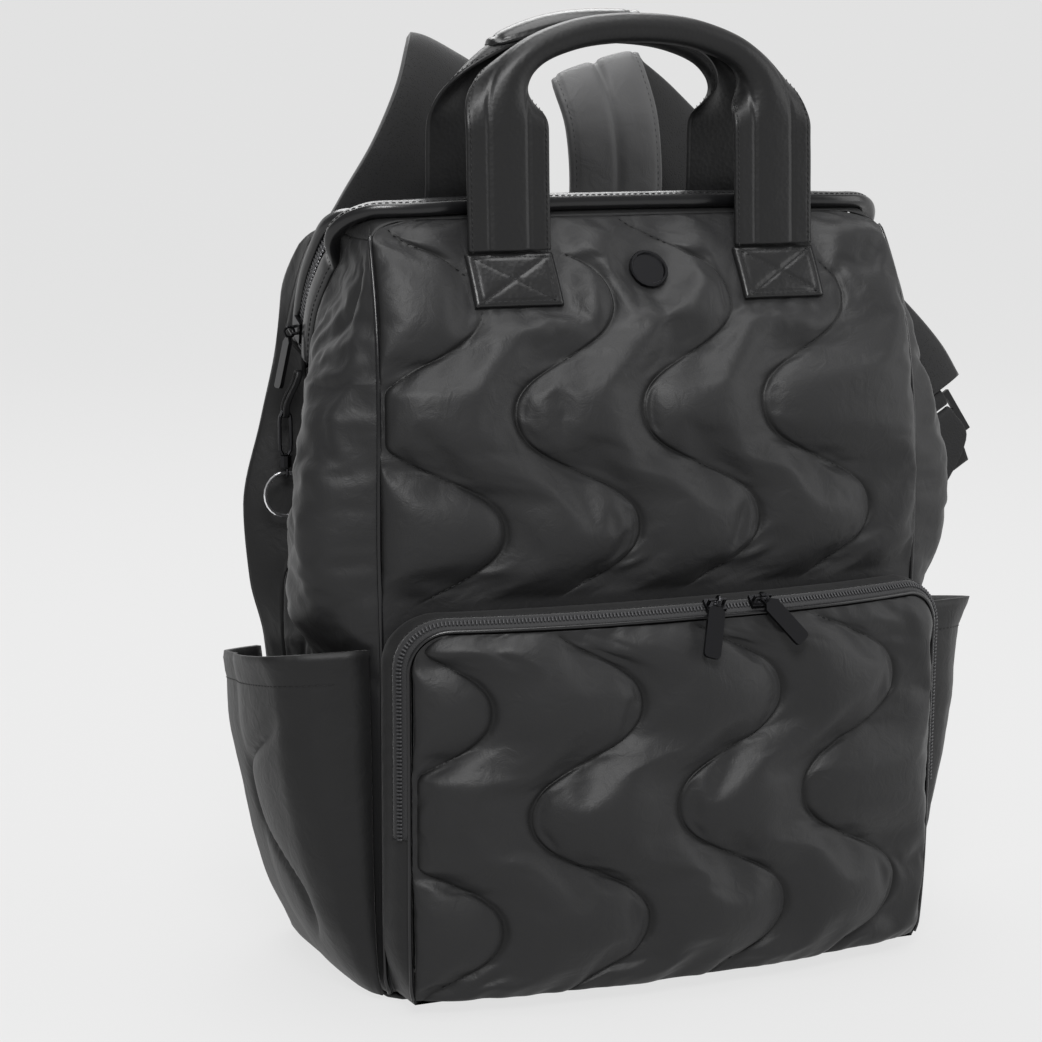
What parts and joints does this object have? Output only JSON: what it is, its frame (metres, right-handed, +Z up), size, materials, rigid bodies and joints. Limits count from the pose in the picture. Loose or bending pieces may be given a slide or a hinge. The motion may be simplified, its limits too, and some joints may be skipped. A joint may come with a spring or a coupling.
{
  "type": "quilted backpack",
  "caption": "Quilted puffer backpack with a wide zipped mouth, paired rolled handles, zipped front pocket, open side pockets and padded shoulder straps.",
  "frame": {"origin": "middle of the flat base, on the ground", "axes": "+Z up, the front pocket faces -Y, +X to the right seen from the front"},
  "size_m": [0.5219, 0.2629, 0.4972],
  "materials": {
    "quilted_nylon": "soft sheen, quilted",
    "plain_nylon": "soft sheen",
    "strap_nylon": "padded, matte",
    "binding": "glossy",
    "leather": "satin",
    "zip_tape": "matte tape with dark teeth",
    "webbing": "ribbed",
    "dark_metal": "satin gunmetal",
    "steel": "bright",
    "plastic": "matte"
  },
  "bodies": {
    "bag": {"front_panel": "quilted_nylon", "left_side_front": "quilted_nylon", "right_side_front": "quilted_nylon", "front_pocket_face": "quilted_nylon", "back_panel": "plain_nylon", "left_side_back": "plain_nylon", "right_side_back": "plain_nylon", "base_panel": "plain_nylon", "front_pocket_wall": "plain_nylon", "left_side_pocket": "plain_nylon", "right_side_pocket": "plain_nylon", "left_shoulder_strap": "strap_nylon", "right_shoulder_strap": "strap_nylon", "mouth_binding_front": "binding", "mouth_binding_back": "binding", "front_handle": "leather", "back_handle": "leather", "back_grip_pad": "leather", "front_patch_left": "leather", "front_patch_right": "leather", "back_patch_left": "leather", "back_patch_right": "leather", "left_strap_anchor": "leather", "right_strap_anchor": "leather", "leash_loop": "leather", "main_zip": "zip_tape", "front_pocket_zip": "zip_tape", "left_webbing": "webbing", "right_webbing": "webbing", "front_pocket_slider_left": "dark_metal", "front_pocket_slider_right": "dark_metal", "main_zip_slider": "dark_metal", "badge": "dark_metal", "snap_hook": "steel", "key_ring": "steel", "left_ladder_lock": "plastic", "right_ladder_lock": "plastic"},
    "pocket_pull_left": {"front_pocket_pull_left": "dark_metal"},
    "pocket_pull_right": {"front_pocket_pull_right": "dark_metal"},
    "mouth_pull": {"main_zip_pull": "dark_metal"}
  },
  "joints": [
    {"name": "pocket_pull_left_swing", "type": "hinge", "parent": "bag", "child": "pocket_pull_left", "pos_m": [0.008, -0.12746, 0.20478], "axis": [-1, 0, 0], "range_deg": [0, 150]},
    {"name": "pocket_pull_right_swing", "type": "hinge", "parent": "bag", "child": "pocket_pull_right", "pos_m": [0.034, -0.12683, 0.20478], "axis": [-1, 0, 0], "range_deg": [0, 150]},
    {"name": "mouth_pull_swing", "type": "hinge", "parent": "bag", "child": "mouth_pull", "pos_m": [-0.15413, 0.04601, 0.33105], "axis": [0, 1, 0], "range_deg": [0, 115]}
  ]
}
